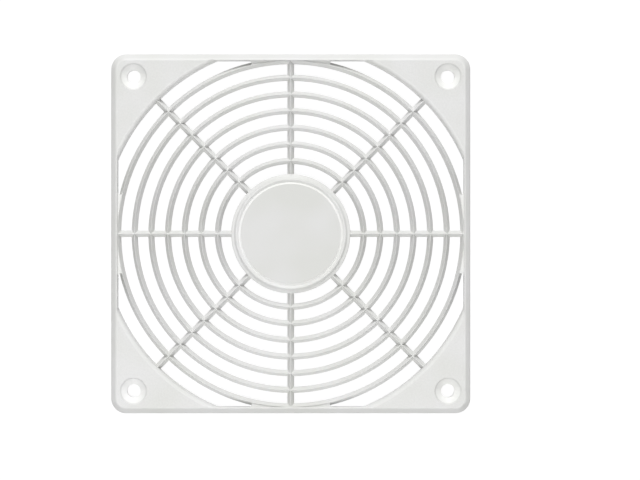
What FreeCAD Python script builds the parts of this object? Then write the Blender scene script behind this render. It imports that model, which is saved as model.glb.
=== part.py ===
import FreeCAD, Part
import math
import os

from FreeCAD import Vector

# Fan guard for a 120 mm axial fan, moulded in one piece of white plastic.
# Millimetres. X and Y run along the sides of the square, +Z comes out of the front.
# The origin is the middle of the flat mounting face, which lies at Z = 0.

# Frame
side = 120.0               # outer side of the square
corner_radius = 5.0        # the square's corners, seen from the front
depth = 6.5                # mounting face to front face
side_wall = 2.15           # straight sides, and the skirt behind the corner plates
edge_bevel = 1.7           # bevelled outer front edge
opening_bevel = 0.4        # bevelled front edge of the opening along the straight sides
crest_land = 0.05          # least flat left between the two bevels on the straight sides
arc_round = 1.6            # rounded front edge of the corner plates' arcs
plate_thickness = 3.0      # corner plates
corner_gap = 4.0           # outermost ring to the arc of a corner plate
arc_wall = 2.0             # skirt behind the arc of a corner plate

# Screw holes
hole_inset = 7.5           # hole centre to the two sides beside it
hole_diameter = 4.5        # clearance for an M4 screw
sink_diameter = 9.0        # countersink at the front face
sink_angle = 90.0          # whole angle of the countersink
post_margin = 6.0          # solid plastic from a hole's centre to the pockets beside it

# Ribs: rings and spokes share one gabled section and one height
ring_count = 7
spoke_count = 8
rib_width = 2.15           # at the foot of a ring
spoke_extra = 0.15         # how much wider a spoke's foot is
rib_depth = 2.8            # foot to crest
rib_drop = 1.0             # crest below the front face
ring_seat = 1.0            # how far the outermost ring reaches into the straight sides

# Hub: a shallow cap with a flat disc, a groove round it, a low rim and a bevelled shoulder
hub_radius = 19.9
hub_wall = 2.9             # skirt round the hub's back
shoulder_width = 0.95      # hub's edge in to the foot of the rim
shoulder_drop = 1.1        # front face down to the shoulder's outer edge
rim_foot_drop = 0.75       # front face down to the shoulder's inner edge
rim_outside = 0.6          # width of the rim's outer slope
rim_land = 0.35            # width of the rim's top
rim_inside = 0.75          # width of the rim's inner slope, down into the groove
groove_depth = 0.6         # front face down to the groove
disc_slope = 0.6           # width of the slope from the groove up to the disc
disc_recess = 0.1          # front face down to the disc
disc_thickness = 2.4

# Places worked out from the sizes above
half_side = side / 2
half_opening = half_side - side_wall
hole_place = half_side - hole_inset
outer_ring_radius = half_opening + ring_seat - rib_width / 2
opening_radius = outer_ring_radius + rib_width / 2 + corner_gap
ring_pitch = (outer_ring_radius - hub_radius + rib_width / 2) / ring_count
rib_crest = depth - rib_drop
rib_foot = rib_crest - rib_depth
spoke_start = hub_radius - hub_wall / 2
outer_bevel = min(edge_bevel, side_wall - opening_bevel - crest_land)
overshoot = 1.0            # how far a cutting solid runs past what it cuts
touching = 1e-4            # how close counts as lying on a line

origin = Vector(0, 0, 0)
axis = Vector(0, 0, 1)


def section_face(points):
    """A flat face in the XZ plane, inside a closed chain of (x, z) points."""
    corners = [Vector(x, 0, z) for x, z in points]
    return Part.Face(Part.makePolygon(corners + corners[:1]))


def box(low, high):
    """A box between two corners."""
    size = high - low
    return Part.makeBox(size.x, size.y, size.z, low)


def upright_cylinder(radius, x, y, bottom, top):
    return Part.makeCylinder(radius, top - bottom, Vector(x, y, bottom))


def edges_at(shape, height):
    """The edges of a shape that lie flat at one height."""
    return [e for e in shape.Edges
            if abs(e.BoundBox.ZMin - height) < touching and abs(e.BoundBox.ZMax - height) < touching]


def turned(shape, turns):
    """Copies of a shape, spread evenly round the middle."""
    copies = []
    for n in range(turns):
        copy = shape.copy()
        copy.rotate(origin, axis, 360 / turns * n)
        copies.append(copy)
    return copies


def square_block():
    """The frame's outer form: a square block with round corners and a bevelled front edge."""
    block = box(Vector(-half_side, -half_side, 0), Vector(half_side, half_side, depth))
    upright = [e for e in block.Edges if abs(e.tangentAt(e.FirstParameter).z) > 0.5]
    block = block.makeFillet(corner_radius, upright)
    return block.makeChamfer(outer_bevel, edges_at(block, depth))


def flared_slot():
    """A slot across the whole frame, as wide as the opening and bevelled at the front."""
    bottom, top = -overshoot, depth + overshoot
    flare = opening_bevel + overshoot
    section = section_face([
        (-half_opening, bottom),
        (half_opening, bottom),
        (half_opening, depth - opening_bevel),
        (half_opening + flare, top),
        (-half_opening - flare, top),
        (-half_opening, depth - opening_bevel),
    ])
    section.translate(Vector(0, -side, 0))
    return section.extrude(Vector(0, 2 * side, 0))


def flared_bore():
    """The round hole between the corner plates, turned about Z, with its front edge rounded in two bevels."""
    inner = arc_round * (1 - math.sqrt(0.5))
    return section_face([
        (0, -overshoot),
        (opening_radius, -overshoot),
        (opening_radius, depth - arc_round),
        (opening_radius + inner, depth - inner),
        (opening_radius + arc_round, depth),
        (opening_radius + arc_round, depth + overshoot),
        (0, depth + overshoot),
    ]).revolve(origin, axis, 360)


def frame():
    """Square frame, open in the middle: a round hole, cut off straight along the four sides."""
    slot = flared_slot()
    crossing = slot.copy()
    crossing.rotate(origin, axis, 90)
    return square_block().cut(flared_bore().common(slot).common(crossing))


def corner_pockets():
    """Hollows behind one corner plate, open at the back: a curved triangle each side of the screw post."""
    bottom, top = -overshoot, depth - plate_thickness
    pocket = box(Vector(0, 0, bottom), Vector(hole_place - post_margin, half_opening, top))
    pocket = pocket.cut(upright_cylinder(opening_radius + arc_wall, 0, 0, bottom, top))
    return [pocket, pocket.mirror(origin, Vector(1, -1, 0))]


def screw_hole():
    """Countersunk through hole in one corner."""
    widen = math.tan(math.radians(sink_angle / 2))
    sink_depth = (sink_diameter - hole_diameter) / 2 / widen
    shank = upright_cylinder(hole_diameter / 2, hole_place, hole_place, -overshoot, depth + overshoot)
    cone = Part.makeCone(hole_diameter / 2, sink_diameter / 2 + overshoot * widen, sink_depth + overshoot,
                         Vector(hole_place, hole_place, depth - sink_depth))
    return shank.fuse(cone)


def rib_section(width, middle):
    """A rib's section, centred on X = middle: flat foot and steep flanks that meet in a crest."""
    return section_face([
        (middle - width / 2, rib_foot),
        (middle + width / 2, rib_foot),
        (middle, rib_crest),
    ])


def ring(radius):
    """One ring: the rib section turned about Z."""
    return rib_section(rib_width, radius).revolve(origin, axis, 360)


def spoke(angle):
    """One spoke, from inside the hub's skirt to inside the frame."""
    turn = math.radians(angle)
    to_side = (half_opening + side_wall / 2) / max(abs(math.cos(turn)), abs(math.sin(turn)))
    reach = min(to_side, opening_radius + arc_wall / 2)
    section = rib_section(rib_width + spoke_extra, 0)
    section.translate(Vector(0, spoke_start, 0))
    bar = section.extrude(Vector(0, reach - spoke_start, 0))
    bar.rotate(origin, axis, angle - 90)
    return bar


def hub():
    """The hub, turned about Z: disc, groove, rim and shoulder in front, and a hollow behind."""
    disc_top = depth - disc_recess
    rim_foot = hub_radius - shoulder_width
    crest = rim_foot - rim_outside
    groove = crest - rim_land - rim_inside
    return section_face([
        (0, disc_top - disc_thickness),
        (hub_radius - hub_wall, disc_top - disc_thickness),
        (hub_radius - hub_wall, rib_foot),
        (hub_radius, rib_foot),
        (hub_radius, depth - shoulder_drop),
        (rim_foot, depth - rim_foot_drop),
        (crest, depth),
        (crest - rim_land, depth),
        (groove, depth - groove_depth),
        (groove - disc_slope, disc_top),
        (0, disc_top),
    ]).revolve(origin, axis, 360)


def guard():
    """The whole moulding as one solid."""
    body = frame()
    for pocket in corner_pockets():
        body = body.cut(turned(pocket, 4))
    rings = [ring(outer_ring_radius - ring_pitch * n) for n in range(ring_count)]
    spokes = [spoke(360 / spoke_count * n) for n in range(spoke_count)]
    body = body.multiFuse([hub()] + rings + spokes)
    return body.cut(turned(screw_hole(), 4)).removeSplitter()


os.makedirs("parts", exist_ok=True)
fan_guard = guard()
fan_guard.exportStep("parts/fan_guard.step")
print("solids", len(fan_guard.Solids), "valid", fan_guard.isValid(),
      "volume mm3", round(fan_guard.Volume, 1), "faces", len(fan_guard.Faces))
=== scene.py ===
import math

import bpy
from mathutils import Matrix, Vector


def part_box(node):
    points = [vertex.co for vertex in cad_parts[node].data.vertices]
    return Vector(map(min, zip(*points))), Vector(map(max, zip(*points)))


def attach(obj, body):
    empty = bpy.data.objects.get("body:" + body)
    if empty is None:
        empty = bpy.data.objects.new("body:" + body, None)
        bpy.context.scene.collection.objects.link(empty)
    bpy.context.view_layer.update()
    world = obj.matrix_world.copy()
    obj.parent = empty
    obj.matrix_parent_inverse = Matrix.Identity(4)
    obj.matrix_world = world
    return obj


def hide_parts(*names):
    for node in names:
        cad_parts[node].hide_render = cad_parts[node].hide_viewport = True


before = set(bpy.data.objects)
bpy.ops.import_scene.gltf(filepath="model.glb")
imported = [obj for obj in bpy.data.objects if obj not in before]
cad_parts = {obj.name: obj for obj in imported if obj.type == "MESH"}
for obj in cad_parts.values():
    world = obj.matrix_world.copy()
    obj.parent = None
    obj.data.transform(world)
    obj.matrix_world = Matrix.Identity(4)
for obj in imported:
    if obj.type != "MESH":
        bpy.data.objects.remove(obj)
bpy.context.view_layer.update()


# The frame: a square with rounded corners and four flat corner plates, open in the middle.
# It is the body of the one-piece moulding, in white ABS, with a soft bevel along its outer front edge.
# The corner plates are hollow behind, beside a solid post round each mounting hole.
mm = 0.001
frame_low, frame_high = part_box("fan_guard")
half_side = (frame_high[0] - frame_low[0]) / 2
depth = frame_high[2] - frame_low[2]
corner_radius = 5.0 * mm
side_wall = 2.15 * mm
front_bevel = 1.7 * mm          # outer edge at the front
bevel_softness = 0.5 * mm       # how far the bevel's own edges are rounded
back_round = 0.2 * mm           # outer edge at the mounting face
opening_round = 0.4 * mm        # front edge of the opening along the straight sides
arc_round = 1.6 * mm            # front edge of the corner plates' arcs
plate_thickness = 3.0 * mm
opening_radius = 62.85 * mm     # arcs of the corner plates
arc_wall = 2.0 * mm             # skirt behind those arcs
pocket_end = 46.5 * mm          # where a pocket ends beside the post
half_opening = half_side - side_wall
overshoot = 1.0 * mm            # how far a cutter runs past what it cuts
corner_steps = 12               # straight runs that make up each rounded corner
arc_steps = 40                  # and each corner plate's arc
pocket_steps = 12
right_angle = math.radians(90)


def stacked(name, outlines):
    """A closed solid through a pile of outlines of equal count, with a flat face at both ends."""
    count = len(outlines[0])
    points = [point for outline in outlines for point in outline]
    faces = [list(reversed(range(count))), list(range(len(points) - count, len(points)))]
    for level in range(0, len(points) - count, count):
        for n in range(count):
            after = (n + 1) % count
            faces.append([level + n, level + after, level + count + after, level + count + n])
    mesh = bpy.data.meshes.new(name)
    mesh.from_pydata(points, [], faces)
    return bpy.data.objects.new(name, mesh)


def quarter_turn(steps):
    """Sine and cosine at even steps from 0 to 90 degrees, both ends included."""
    turns = [right_angle * n / steps for n in range(steps + 1)]
    return [(math.sin(turn), math.cos(turn)) for turn in turns]


def softened(before, corner, after, reach, steps):
    """Points of a curve that takes a profile round a corner, from a reach before it to a reach after it."""
    before, corner, after = Vector(before), Vector(corner), Vector(after)
    start = corner + (before - corner).normalized() * reach
    end = corner + (after - corner).normalized() * reach
    parts = [n / steps for n in range(steps + 1)]
    return [tuple(start.lerp(corner, part).lerp(corner.lerp(end, part), part)) for part in parts]


def rounded_square(inset, height):
    """The frame's outline, moved inwards, at one height."""
    radius = corner_radius - inset
    middle = half_side - corner_radius
    points = []
    for x, y in ((1, 1), (-1, 1), (-1, -1), (1, -1)):
        for rise, run in quarter_turn(corner_steps):
            along, across = (run, rise) if x == y else (rise, run)
            points.append((x * (middle + radius * along), y * (middle + radius * across), height))
    return points


def flare(radius, drop):
    """How far an edge rounded by a radius stands back, at a drop below its top."""
    return radius - math.sqrt(radius ** 2 - max(radius - drop, 0) ** 2)


def opening_outline(drop, height):
    """A circle cut off straight on four sides, flared as its rounded edges are at a drop below the front."""
    radius = opening_radius + flare(arc_round, drop)
    half = half_opening + flare(opening_round, drop)
    first = math.acos(half / radius)
    points = []
    for quarter in range(4):
        for n in range(arc_steps + 1):
            turn = right_angle * quarter + first + (right_angle - 2 * first) * n / arc_steps
            points.append((radius * math.cos(turn), radius * math.sin(turn), height))
    return points


def pocket(name, mirrored):
    """The hollow on one side of a post: a curved triangle between the skirts."""
    inner = opening_radius + arc_wall
    first = math.acos(pocket_end / inner)
    last = math.asin(half_opening / inner)
    turns = [first + (last - first) * n / pocket_steps for n in range(pocket_steps + 1)]
    corners = [(inner * math.cos(turn), inner * math.sin(turn)) for turn in reversed(turns)]
    corners.append((pocket_end, half_opening))
    if mirrored:
        corners = [(y, x) for x, y in reversed(corners)]
    heights = (-overshoot, depth - plate_thickness)
    return stacked(name, [[(x, y, height) for x, y in corners] for height in heights])


block_levels = [rounded_square(back_round * (1 - rise), back_round * (1 - run))
                for rise, run in quarter_turn(steps=2)]
bevel_corners = [(0, 0), (0, depth - front_bevel), (front_bevel, depth), (half_side, depth)]
for corners in (bevel_corners[:3], bevel_corners[1:]):
    bevel_edge = softened(*corners, reach=bevel_softness, steps=4)
    block_levels += [rounded_square(inset, height) for inset, height in bevel_edge]
block = stacked("frame_block", block_levels)

drops = [arc_round * (1 - rise) for rise, _ in quarter_turn(steps=8)]
drops += [opening_round * (1 - rise) for rise, _ in quarter_turn(steps=3)[:-1]]
opening_levels = [opening_outline(depth, -overshoot)]
opening_levels += [opening_outline(drop, depth - drop) for drop in sorted(drops, reverse=True)]
opening_levels.append(opening_outline(0, depth + overshoot))
opening = stacked("opening_cutter", opening_levels)

pockets = [pocket("pocket_cutter", mirrored=False), pocket("pocket_cutter_mirrored", mirrored=True)]


# The mounting holes: one in each corner, straight through and countersunk at the front.
# They are moulded with the frame and polished inside, with a steep band at the countersink's edge.
# Below the band their colour is painted whiter, a painted highlight.
hole_inset = 7.5 * mm           # hole centre to the two edges beside it
hole_radius = 2.25 * mm
sink_radius = 4.5 * mm
sink_depth = sink_radius - hole_radius
band_width = 0.45 * mm          # steep band at the edge of the countersink
band_depth = 0.7 * mm
hole_place = half_side - hole_inset
hole_steps = 64


def circle(radius, height, steps, middle=0.0):
    """A circle at one height, centred on the axis or at X = Y = middle."""
    turns = [math.tau * n / steps for n in range(steps)]
    return [(middle + radius * math.cos(turn), middle + radius * math.sin(turn), height) for turn in turns]


hole_profile = [
    (hole_radius, -overshoot),
    (hole_radius, depth - sink_depth),
    (sink_radius - band_width, depth - band_depth),
    (sink_radius, depth),
    (sink_radius, depth + overshoot),
]
mounting_hole = stacked("mounting_hole_cutter", [circle(radius, height, hole_steps, hole_place)
                                                 for radius, height in hole_profile])


# The hub: a shallow cap over the fan's boss, with a flat disc, a groove, a low rim and a bevelled shoulder.
# It is moulded with the rings and spokes, and is hollow behind to keep the wall even.
hub_radius = 19.9 * mm
hub_wall = 2.9 * mm             # skirt round the hub's back
shoulder_width = 0.95 * mm      # hub's edge in to the foot of the rim
shoulder_drop = 1.1 * mm        # front face down to the shoulder's outer edge
rim_foot_drop = 0.75 * mm       # front face down to the shoulder's inner edge
rim_outside = 0.6 * mm          # width of the rim's outer slope
rim_land = 0.35 * mm            # width of the rim's top
rim_inside = 0.75 * mm          # width of the rim's inner slope, down into the groove
groove_depth = 0.6 * mm
disc_slope = 0.6 * mm           # width of the slope from the groove up to the disc
disc_recess = 0.1 * mm
disc_back = 2.5 * mm            # front face down to the hollow
shoulder_softness = 0.25 * mm   # how far each edge is rounded
foot_softness = 0.15 * mm
rim_softness = 0.17 * mm
groove_softness = 0.06 * mm
rib_drop = 1.0 * mm             # front face down to the crests of the ribs
rib_depth = 2.8 * mm
rib_crest = depth - rib_drop
rib_foot = rib_crest - rib_depth
hub_steps = 128

rim_foot = hub_radius - shoulder_width
rim_crest = rim_foot - rim_outside
groove = rim_crest - rim_land - rim_inside
disc_top = depth - disc_recess
hub_corners = [
    (hub_radius, rib_foot),
    (hub_radius, depth - shoulder_drop),
    (rim_foot, depth - rim_foot_drop),
    (rim_crest, depth),
    (rim_crest - rim_land, depth),
    (groove, depth - groove_depth),
    (groove - disc_slope, disc_top),
]
softening = [               # reach and steps at each corner but the first and last
    (shoulder_softness, 3),
    (foot_softness, 3),
    (rim_softness, 3),
    (rim_softness, 3),
    (groove_softness, 2),
]
hub_profile = [(hub_radius - hub_wall, depth - disc_back), (hub_radius - hub_wall, rib_foot), hub_corners[0]]
for n, (reach, steps) in enumerate(softening):
    hub_profile += softened(*hub_corners[n:n + 3], reach, steps)
hub_profile.append(hub_corners[-1])
hub = stacked("hub_cap", [circle(radius, height, hub_steps) for radius, height in hub_profile])


# The grille: seven rings on one pitch and eight spokes, with one gabled section and one height.
# They cross in mitres, run into the hub's skirt and the frame, and keep fingers off the blades.
# Low webs close the wedges beside the outermost ring. All of it is moulded with the frame and hub.
ring_count = 7
spoke_count = 8
rib_width = 2.15 * mm           # at the foot of a ring
spoke_width = 2.3 * mm
crest_land = 0.12 * mm          # flat on top of a rib, before its edges are rounded
crest_round = 0.08 * mm
ring_seat = 1.0 * mm            # how far the outermost ring reaches into the straight sides
outer_ring = half_opening + ring_seat - rib_width / 2
ring_pitch = (outer_ring - hub_radius + rib_width / 2) / ring_count
spoke_start = hub_radius - hub_wall / 2
reach_to_side = half_opening + side_wall / 2
reach_to_arc = opening_radius + arc_wall / 2
web_drop = 0.3 * mm             # crests of the ribs down to the webs
web_reach = 14.0 * mm           # middle of a side to the end of its web
web_steps = 12                  # straight runs in half a web's arc
web_end_steps = 10
ring_steps = 192
crest_steps = 3
weld_distance = 0.002 * mm      # points nearer than this become one
sharp_angle = 28.0              # edges that bend more than this, in degrees, stay sharp
level_tolerance = 0.005 * mm    # how near to a flat face's height counts as on it
least_upright = 0.9999          # and how near to straight up it has to face


def side_web():
    """The web that fills the wedge between the outermost ring and one side, rounded out at both ends."""
    ring_side = math.sqrt(outer_ring ** 2 - web_reach ** 2)
    radius = (half_opening - ring_side) / 2
    middle = (half_opening + ring_side) / 2
    turns = [math.pi * (n / web_end_steps - 0.5) for n in range(web_end_steps + 1)]
    right_end = [(web_reach - radius * math.cos(turn), middle + radius * math.sin(turn)) for turn in turns]
    left_end = [(-x, y) for x, y in reversed(right_end)]
    along = [web_reach * (n / web_steps - 1) for n in range(1, 2 * web_steps)]
    under_ring = [(x, math.sqrt(outer_ring ** 2 - x ** 2)) for x in along]
    in_side = half_opening + side_wall / 4
    outline = [(web_reach, in_side), (-web_reach, in_side)] + left_end + under_ring + right_end
    heights = (rib_foot, rib_crest - web_drop)
    return stacked("side_web", [[(x, y, height) for x, y in outline] for height in heights])


web = side_web()


def add(tree, kind, sockets=None, **settings):
    """One node, with its settings, and its sockets given a value or linked, a list with one link each."""
    made = tree.nodes.new(kind)
    for name, value in settings.items():
        setattr(made, name, value)
    for key, value in (sockets or {}).items():
        parts = value if isinstance(value, list) else [value]
        for part in parts:
            if isinstance(part, bpy.types.NodeSocket):
                tree.links.new(part, made.inputs[key])
            else:
                made.inputs[key].default_value = part
    return made


def result(tree, kind, sockets=None, **settings):
    """The first output of one new node."""
    return add(tree, kind, sockets, **settings).outputs[0]


def calc(tree, operation, *terms):
    """The result of one sum on sockets or numbers."""
    return result(tree, "ShaderNodeMath", dict(enumerate(terms)), operation=operation)


def vector_calc(tree, operation, *terms, output="Vector"):
    """The result of one sum on vectors."""
    made = add(tree, "ShaderNodeVectorMath", dict(enumerate(terms)), operation=operation)
    return made.outputs[output]


moulding_inputs = {
    "Opening": ("NodeSocketObject", opening),
    "Pocket": ("NodeSocketObject", pockets[0]),
    "Pocket mirrored": ("NodeSocketObject", pockets[1]),
    "Mounting hole": ("NodeSocketObject", mounting_hole),
    "Hub": ("NodeSocketObject", hub),
    "Web": ("NodeSocketObject", web),
    "Corners": ("NodeSocketInt", 4),
    "Rings": ("NodeSocketInt", ring_count),
    "Ring steps": ("NodeSocketInt", ring_steps),
    "Outer ring": ("NodeSocketFloat", outer_ring),
    "Ring pitch": ("NodeSocketFloat", ring_pitch),
    "Spokes": ("NodeSocketInt", spoke_count),
    "Spoke start": ("NodeSocketFloat", spoke_start),
    "Reach to side": ("NodeSocketFloat", reach_to_side),
    "Reach to arc": ("NodeSocketFloat", reach_to_arc),
    "Ring width": ("NodeSocketFloat", rib_width),
    "Spoke width": ("NodeSocketFloat", spoke_width),
    "Rib foot": ("NodeSocketFloat", rib_foot),
    "Rib crest": ("NodeSocketFloat", rib_crest),
    "Crest land": ("NodeSocketFloat", crest_land),
    "Crest round": ("NodeSocketFloat", crest_round),
    "Crest steps": ("NodeSocketInt", crest_steps),
    "Weld distance": ("NodeSocketFloat", weld_distance),
    "Sharp angle": ("NodeSocketFloat", math.radians(sharp_angle)),
    "Groove": ("NodeSocketFloat", groove),
    "Band foot": ("NodeSocketFloat", depth - band_depth),
    "Plate height": ("NodeSocketFloat", depth),
    "Disc height": ("NodeSocketFloat", disc_top),
    "Level tolerance": ("NodeSocketFloat", level_tolerance),
    "Least upright": ("NodeSocketFloat", least_upright),
}
# the polished finish carries a painted highlight, and the plate and disc finishes carry painted shade, in
# their colours
finish_names = ("Smooth finish", "Polished finish, painted highlight", "Plate finish, painted shade", "Disc finish, painted shade")


def rib_section(tree, sizes, width):
    """The section of a rib as a closed curve, with heights along -Y as the sweep wants them."""
    def corner(across, side, height):
        sockets = {"X": calc(tree, "MULTIPLY", across, side / 2),
                   "Y": calc(tree, "MULTIPLY", sizes[height], -1)}
        return result(tree, "ShaderNodeCombineXYZ", sockets)

    corners = {
        "Point 1": corner(width, -1, "Rib foot"),
        "Point 2": corner(width, 1, "Rib foot"),
        "Point 3": corner(sizes["Crest land"], 1, "Rib crest"),
        "Point 4": corner(sizes["Crest land"], -1, "Rib crest"),
    }
    gable = result(tree, "GeometryNodeCurvePrimitiveQuadrilateral", corners, mode="POINTS")
    rounding = {"Curve": gable, "Radius": sizes["Crest round"], "Limit Radius": True,
                "Count": sizes["Crest steps"]}
    return result(tree, "GeometryNodeFilletCurve", rounding, mode="POLY")


def swept(tree, path, section):
    """A solid swept along a curve that keeps upright, with its faces turned outwards."""
    upright = result(tree, "GeometryNodeSetCurveNormal", {"Curve": path}, mode="Z_UP")
    sweep = {"Curve": upright, "Profile Curve": section, "Fill Caps": True}
    return result(tree, "GeometryNodeFlipFaces", {"Mesh": result(tree, "GeometryNodeCurveToMesh", sweep)})


def copies(tree, count, thing, turn=None, scale=None):
    """Copies of a thing at the origin, each turned about Z or scaled by a rule of its number."""
    sockets = {"Points": result(tree, "GeometryNodePoints", {"Count": count}), "Instance": thing}
    if turn is not None:
        sockets["Rotation"] = result(tree, "ShaderNodeCombineXYZ", {"Z": turn})
    if scale is not None:
        sockets["Scale"] = result(tree, "ShaderNodeCombineXYZ", {"X": scale, "Y": scale, "Z": 1.0})
    placed = result(tree, "GeometryNodeInstanceOnPoints", sockets)
    return result(tree, "GeometryNodeRealizeInstances", {"Geometry": placed})


def rings(tree, sizes, number):
    """The rings, from the outermost in."""
    circle_size = {"Resolution": sizes["Ring steps"], "Radius": 1.0}
    unit = result(tree, "GeometryNodeCurvePrimitiveCircle", circle_size)
    inwards = calc(tree, "MULTIPLY", sizes["Ring pitch"], number)
    radius = calc(tree, "SUBTRACT", sizes["Outer ring"], inwards)
    paths = copies(tree, sizes["Rings"], unit, scale=radius)
    return swept(tree, paths, rib_section(tree, sizes, sizes["Ring width"]))


def spokes(tree, sizes, number):
    """The spokes: unit lines turned to their places, then drawn out to what each one reaches."""
    unit = result(tree, "GeometryNodeCurvePrimitiveLine", {"Start": (1, 0, 0), "End": (2, 0, 0)})
    turn = calc(tree, "MULTIPLY", calc(tree, "DIVIDE", math.tau, sizes["Spokes"]), number)
    lines = copies(tree, sizes["Spokes"], unit, turn=turn)
    place = result(tree, "GeometryNodeInputPosition")
    heading = vector_calc(tree, "NORMALIZE", place)
    parts = add(tree, "ShaderNodeSeparateXYZ", {0: heading}).outputs
    widest = calc(tree, "MAXIMUM", calc(tree, "ABSOLUTE", parts["X"]), calc(tree, "ABSOLUTE", parts["Y"]))
    to_side = calc(tree, "DIVIDE", sizes["Reach to side"], widest)
    reach = calc(tree, "MINIMUM", to_side, sizes["Reach to arc"])
    at_end = calc(tree, "SUBTRACT", vector_calc(tree, "LENGTH", place, output="Value"), 1.0)
    run = calc(tree, "MULTIPLY", calc(tree, "SUBTRACT", reach, sizes["Spoke start"]), at_end)
    drawing = {0: heading, "Scale": calc(tree, "ADD", sizes["Spoke start"], run)}
    away = result(tree, "ShaderNodeVectorMath", drawing, operation="SCALE")
    drawn = result(tree, "GeometryNodeSetPosition", {"Geometry": lines, "Position": away})
    return swept(tree, drawn, rib_section(tree, sizes, sizes["Spoke width"]))


def moulding_tree():
    """Frame, webs, hub and grille fused, with the opening, pockets and mounting holes cut out."""
    tree = bpy.data.node_groups.new("fan_guard_moulding", "GeometryNodeTree")
    tree.interface.new_socket("Block", in_out="INPUT", socket_type="NodeSocketGeometry")
    for name, (kind, _) in moulding_inputs.items():
        tree.interface.new_socket(name, in_out="INPUT", socket_type=kind)
    for name in finish_names:
        tree.interface.new_socket(name, in_out="INPUT", socket_type="NodeSocketMaterial")
    tree.interface.new_socket("Guard", in_out="OUTPUT", socket_type="NodeSocketGeometry")
    sizes = add(tree, "NodeGroupInput").outputs
    number = result(tree, "GeometryNodeInputIndex")

    def shape(name):
        return add(tree, "GeometryNodeObjectInfo", {"Object": sizes[name]}).outputs["Geometry"]

    def at_corners(name):
        quarter = calc(tree, "MULTIPLY", calc(tree, "DIVIDE", math.tau, sizes["Corners"]), number)
        return copies(tree, sizes["Corners"], shape(name), turn=quarter)

    def boolean(operation, sockets):
        return result(tree, "GeometryNodeMeshBoolean", sockets, operation=operation, solver="MANIFOLD")

    def finished(mesh, name, **where):
        return result(tree, "GeometryNodeSetMaterial", {"Geometry": mesh, "Material": sizes[name]} | where)

    cutters = [shape("Opening"), at_corners("Pocket"), at_corners("Pocket mirrored")]
    open_frame = boolean("DIFFERENCE", {"Mesh 1": sizes["Block"], "Mesh 2": cutters})
    webbed_frame = boolean("UNION", {"Mesh 2": [open_frame, at_corners("Web")]})
    ribs = [rings(tree, sizes, number), spokes(tree, sizes, number)]
    parts = [finished(mesh, "Smooth finish") for mesh in [webbed_frame, shape("Hub")] + ribs]

    place = result(tree, "GeometryNodeInputPosition")
    level = add(tree, "ShaderNodeSeparateXYZ", {0: place}).outputs["Z"]
    from_axis = vector_calc(tree, "LENGTH", vector_calc(tree, "MULTIPLY", place, (1, 1, 0)), output="Value")
    in_groove = calc(tree, "LESS_THAN", from_axis, sizes["Groove"])
    # the hub's groove and the slope up to the disc take the polished finish, whose whiter colour is a
    # painted highlight
    parts[1] = finished(parts[1], "Polished finish, painted highlight", Selection=in_groove)
    whole = boolean("UNION", {"Mesh 2": parts})

    below_band = calc(tree, "LESS_THAN", level, sizes["Band foot"])
    drills = finished(at_corners("Mounting hole"), "Smooth finish")
    # below the steep band the countersinks and holes take the polished finish, whose whiter colour is a
    # painted highlight
    drills = finished(drills, "Polished finish, painted highlight", Selection=below_band)
    drilled = boolean("DIFFERENCE", {"Mesh 1": whole, "Mesh 2": drills})

    welding = {"Geometry": drilled, "Distance": sizes["Weld distance"]}
    clean = result(tree, "GeometryNodeMergeByDistance", welding)
    shading = {"Geometry": clean, "Shade Smooth": True}
    smooth = result(tree, "GeometryNodeSetShadeSmooth", shading, domain="FACE")
    bend = result(tree, "GeometryNodeInputMeshEdgeAngle")
    creases = {"Geometry": smooth, "Shade Smooth": False,
               "Selection": calc(tree, "GREATER_THAN", bend, sizes["Sharp angle"])}
    edged = result(tree, "GeometryNodeSetShadeSmooth", creases, domain="EDGE")

    guard = result(tree, "GeometryNodeRealizeInstances", {"Geometry": edged})
    normal = result(tree, "GeometryNodeInputNormal")
    upright = add(tree, "ShaderNodeSeparateXYZ", {0: normal}).outputs["Z"]
    faces_up = calc(tree, "GREATER_THAN", upright, sizes["Least upright"])
    # the flat plates and the disc take finishes whose greyer colours are painted shade
    for name, height in (("Plate finish, painted shade", "Plate height"), ("Disc finish, painted shade", "Disc height")):
        away = calc(tree, "ABSOLUTE", calc(tree, "SUBTRACT", level, sizes[height]))
        near = calc(tree, "LESS_THAN", away, sizes["Level tolerance"])
        guard = finished(guard, name, Selection=calc(tree, "MULTIPLY", near, faces_up))
    add(tree, "NodeGroupOutput", {0: guard})
    return tree


# The plastic: white ABS, a little grey beside the paper-white ground, with faint clouds of tint.
# The mould is spark-eroded on the plates, finer on the disc, smooth on the ribs and edges, and
# polished in the hub's groove and the countersinks. Those polished parts are painted whiter, a painted
# highlight, and the plates and the disc are painted greyer, a painted shade.
smooth_white = (0.785, 0.785, 0.78)
# painted highlight: the polished parts are painted whiter than the plastic
painted_highlight_white = (0.9, 0.9, 0.895)
# painted shade: the plates are painted greyer than the ribs and edges
grained_painted_shade_white = (0.75, 0.75, 0.745)
# painted shade: the hub's disc is painted greyer still
disc_painted_shade_white = (0.71, 0.711, 0.702)
cloud_tint = (0.955, 0.96, 0.938)
cloud_size = 16.0 * mm
cloud_low, cloud_high = 0.35, 0.65      # part of the noise that goes from no tint to full tint
plastic_gloss = 0.25


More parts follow.
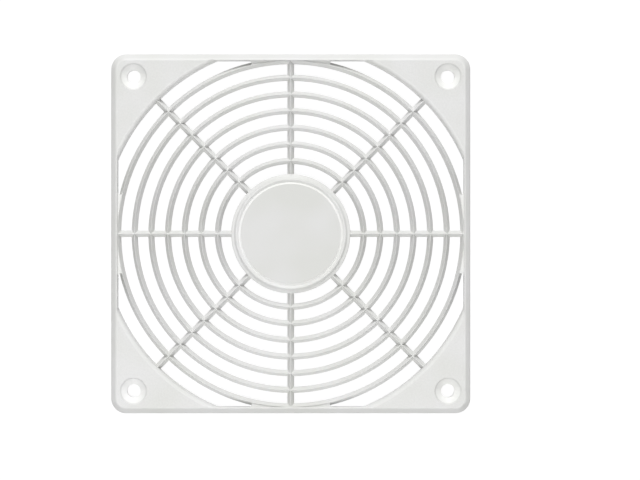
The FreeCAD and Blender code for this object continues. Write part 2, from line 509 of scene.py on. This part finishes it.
def moulded_surface():
    """Shader group for all finishes: soft clouds of tint over a colour, and the height of the grain."""
    tree = bpy.data.node_groups.new("moulded_surface", "ShaderNodeTree")
    for name in ("White", "Tint"):
        tree.interface.new_socket(name, in_out="INPUT", socket_type="NodeSocketColor")
    for name in ("Cloud size", "Grain size", "Speckle"):
        tree.interface.new_socket(name, in_out="INPUT", socket_type="NodeSocketFloat")
    tree.interface.new_socket("Colour", in_out="OUTPUT", socket_type="NodeSocketColor")
    tree.interface.new_socket("Height", in_out="OUTPUT", socket_type="NodeSocketFloat")
    sizes = add(tree, "NodeGroupInput").outputs
    place = add(tree, "ShaderNodeTexCoord").outputs["Object"]

    def noise(size, detail):
        scale = calc(tree, "DIVIDE", 1.0, size)
        return result(tree, "ShaderNodeTexNoise", {"Vector": place, "Scale": scale, "Detail": detail})

    clouds = noise(sizes["Cloud size"], detail=1.0)
    cloud_range = {"Value": clouds, "From Min": cloud_low, "From Max": cloud_high}
    cover = result(tree, "ShaderNodeMapRange", cloud_range)
    grain = noise(sizes["Grain size"], detail=3.0)
    layers = {"Fac": cover, "Color1": sizes["White"], "Color2": sizes["Tint"]}
    tinted = result(tree, "ShaderNodeMixRGB", layers, blend_type="MULTIPLY")
    dots = calc(tree, "MULTIPLY", calc(tree, "SUBTRACT", grain, 0.5), sizes["Speckle"])
    shade = calc(tree, "ADD", 1.0, dots)
    grey = result(tree, "ShaderNodeCombineXYZ", {"X": shade, "Y": shade, "Z": shade})
    add(tree, "NodeGroupOutput", {"Colour": vector_calc(tree, "MULTIPLY", tinted, grey), "Height": grain})
    return tree


surface = moulded_surface()


def finish(name, white, roughness, grain_size, grain_depth, speckle):
    """One finish of the plastic: grain and gloss as the mould gives them, on a white that for some finishes
    is painted highlight or painted shade.
    """
    material = bpy.data.materials.new(name)
    material.use_nodes = True
    tree = material.node_tree
    shader = tree.nodes["Principled BSDF"]
    values = {"White": (*white, 1), "Tint": (*cloud_tint, 1), "Cloud size": cloud_size,
              "Grain size": grain_size, "Speckle": speckle}
    skin = add(tree, "ShaderNodeGroup", node_tree=surface)
    for key, value in values.items():
        skin.inputs[key].default_value = value
    bump = result(tree, "ShaderNodeBump", {"Height": skin.outputs["Height"], "Distance": grain_depth})
    tree.links.new(skin.outputs["Colour"], shader.inputs["Base Color"])
    tree.links.new(bump, shader.inputs["Normal"])
    shader.inputs["Roughness"].default_value = roughness
    shader.inputs["Specular IOR Level"].default_value = plastic_gloss
    return material


finishes = (
    finish("white_plastic_smooth", smooth_white, roughness=0.38,
           grain_size=0.9 * mm, grain_depth=0.006 * mm, speckle=0.0),
    # polished: whiter, a painted highlight
    finish("white_plastic_polished_painted_highlight", painted_highlight_white, roughness=0.3,
           grain_size=0.9 * mm, grain_depth=0.004 * mm, speckle=0.0),
    # grained plates: greyer, a painted shade
    finish("white_plastic_grained_painted_shade", grained_painted_shade_white, roughness=0.55,
           grain_size=0.6 * mm, grain_depth=0.05 * mm, speckle=0.12),
    # disc: greyer still, a painted shade
    finish("white_plastic_disc_painted_shade", disc_painted_shade_white, roughness=0.5,
           grain_size=0.6 * mm, grain_depth=0.01 * mm, speckle=0.02),
)


def moulded(block_object, tree):
    """The evaluated moulding as a plain mesh with clean normals."""
    bpy.context.scene.collection.objects.link(block_object)
    maker = block_object.modifiers.new("moulding", "NODES")
    maker.node_group = tree
    values = {name: value for name, (_, value) in moulding_inputs.items()}
    values |= dict(zip(finish_names, finishes))
    for item in tree.interface.items_tree:
        if item.in_out == "INPUT" and item.name in values:
            maker[item.identifier] = values[item.name]
    weigher = block_object.modifiers.new("flat_faces", "WEIGHTED_NORMAL")
    weigher.keep_sharp = True
    evaluated = block_object.evaluated_get(bpy.context.evaluated_depsgraph_get())
    mesh = bpy.data.meshes.new_from_object(evaluated)
    mesh.name = "fan_guard_moulding"
    bpy.data.objects.remove(block_object)
    return mesh


guard = bpy.data.objects.new("fan_guard_moulding", moulded(block, moulding_tree()))
bpy.context.scene.collection.objects.link(guard)
for cutter in [opening, mounting_hole, hub, web] + pockets:
    bpy.data.objects.remove(cutter)
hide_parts("fan_guard")
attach(guard, "root")


# The ground: a paper-white floor that keeps a faint shadow, and white all round.
# One soft lamp stands at the back, with weaker ones in front and above, in a faint even light.
floor_half = 3.0                # metres from the middle to the floor's edges
floor_gap = 0.02 * mm           # floor down from the mounting face
floor_white = (1.0, 1.0, 1.0)
floor_bounce = (0.4, 0.4, 0.4)
floor_glow = 0.95
floor_share = 0.12              # of the lamps' light that the camera sees on the floor
dome_strength = 0.28


def seen_rays(tree):
    """1 where the camera or a reflection looks, and 0 where light only bounces."""
    path = add(tree, "ShaderNodeLightPath").outputs
    reflected = calc(tree, "MAXIMUM", path["Is Glossy Ray"], path["Is Transmission Ray"])
    return calc(tree, "MAXIMUM", path["Is Camera Ray"], reflected)


def white_ground():
    """White where the camera or a reflection sees it, and plain pale grey where it lights the object."""
    material = bpy.data.materials.new("white_ground")
    material.use_nodes = True
    tree = material.node_tree
    tree.nodes.clear()
    glow = result(tree, "ShaderNodeEmission", {"Color": (*floor_white, 1), "Strength": floor_glow})
    faint = result(tree, "ShaderNodeBsdfDiffuse", {"Color": (floor_share, floor_share, floor_share, 1)})
    bright = result(tree, "ShaderNodeAddShader", {0: glow, 1: faint})
    plain = result(tree, "ShaderNodeBsdfDiffuse", {"Color": (*floor_bounce, 1)})
    either = result(tree, "ShaderNodeMixShader", {0: seen_rays(tree), 1: plain, 2: bright})
    add(tree, "ShaderNodeOutputMaterial", {"Surface": either})
    return material


def flat_square(name, half, height):
    """A square sheet that faces up."""
    corners = [(-half, -half, height), (half, -half, height), (half, half, height), (-half, half, height)]
    mesh = bpy.data.meshes.new(name)
    mesh.from_pydata(corners, [], [(0, 1, 2, 3)])
    made = bpy.data.objects.new(name, mesh)
    bpy.context.scene.collection.objects.link(made)
    return made


floor = flat_square("floor", floor_half, -floor_gap)
floor.data.materials.append(white_ground())


def lamp(name, turn, rise, distance, size, power):
    """A soft square lamp, aimed at the guard. Turn 0 stands at +Y, rise is above the floor, in degrees."""
    data = bpy.data.lights.new(name, "AREA")
    data.shape = "SQUARE"
    data.size = size
    data.energy = power
    made = bpy.data.objects.new(name, data)
    turn, rise = math.radians(turn), math.radians(rise)
    away = Vector((math.sin(turn) * math.cos(rise), math.cos(turn) * math.cos(rise), math.sin(rise)))
    made.location = away * distance
    made.rotation_euler = away.to_track_quat("Z", "Y").to_euler()
    bpy.context.scene.collection.objects.link(made)


lamp("lamp_back", turn=0, rise=36, distance=1.4, size=0.5, power=13.2)
lamp("lamp_front", turn=180, rise=36, distance=0.6, size=0.3, power=1.2)
lamp("lamp_above", turn=220, rise=80, distance=0.8, size=0.4, power=1.4)


def dome():
    """Even light from the world, which shows as white."""
    world = bpy.data.worlds.new("studio")
    world.use_nodes = True
    tree = world.node_tree
    tree.nodes.clear()
    strength = calc(tree, "MAXIMUM", seen_rays(tree), dome_strength)
    light = result(tree, "ShaderNodeBackground", {"Color": (1, 1, 1, 1), "Strength": strength})
    add(tree, "ShaderNodeOutputWorld", {"Surface": light})
    bpy.context.scene.world = world


dome()
bpy.context.scene.view_settings.view_transform = "Standard"


# The camera looks straight down on the guard, which lies left of the picture's middle.
# Its lens follows from how wide the guard is in the picture.
picture_width, picture_height = 640, 480
guard_x, guard_y = 290.7, 233.8     # where the guard's middle lies in the picture, in pixels
guard_width = 359.6                 # and how wide it is there
pixel = 2 * half_side / guard_width
sensor_width = 36.0                 # in millimetres, as Blender takes it
camera_height = 1.2
camera_data = bpy.data.cameras.new("camera")
camera_data.sensor_width = sensor_width
camera_data.lens = sensor_width * (camera_height - depth) / (picture_width * pixel)
camera = bpy.data.objects.new("camera", camera_data)
camera.location.x = (picture_width / 2 - guard_x) * pixel
camera.location.y = (guard_y - picture_height / 2) * pixel
camera.location.z = camera_height
bpy.context.scene.collection.objects.link(camera)
bpy.context.scene.camera = camera
